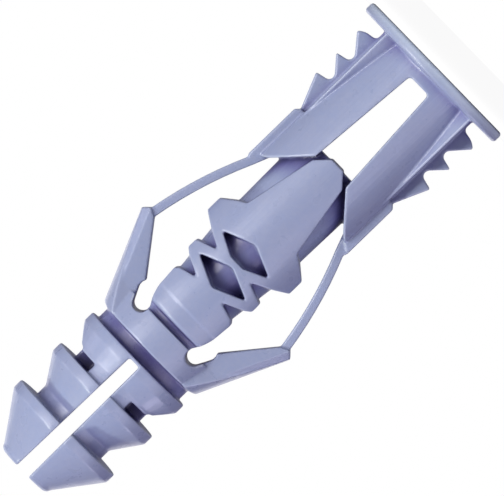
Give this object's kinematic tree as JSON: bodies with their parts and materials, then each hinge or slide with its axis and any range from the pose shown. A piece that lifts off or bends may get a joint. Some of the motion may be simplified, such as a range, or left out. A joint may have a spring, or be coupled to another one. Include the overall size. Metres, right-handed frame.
{
  "type": "wall plug",
  "caption": "Folding wall plug in one moulding: flange, split sleeve with toothed fins, hinged wings, wedge core with a lattice, and a slotted barbed nose.",
  "frame": {"origin": "centre of the flange's outer face, where the screw goes in", "axes": "+Z along the axis from the flange to the nose; X across the two folding wings; Y from front to back, the way the slots run"},
  "size_m": [0.014, 0.0122, 0.0381],
  "materials": {
    "plastic": "satin moulded plastic, greyish lavender blue"
  },
  "bodies": {
    "root": {"wall_plug": "plastic"}
  },
  "joints": []
}
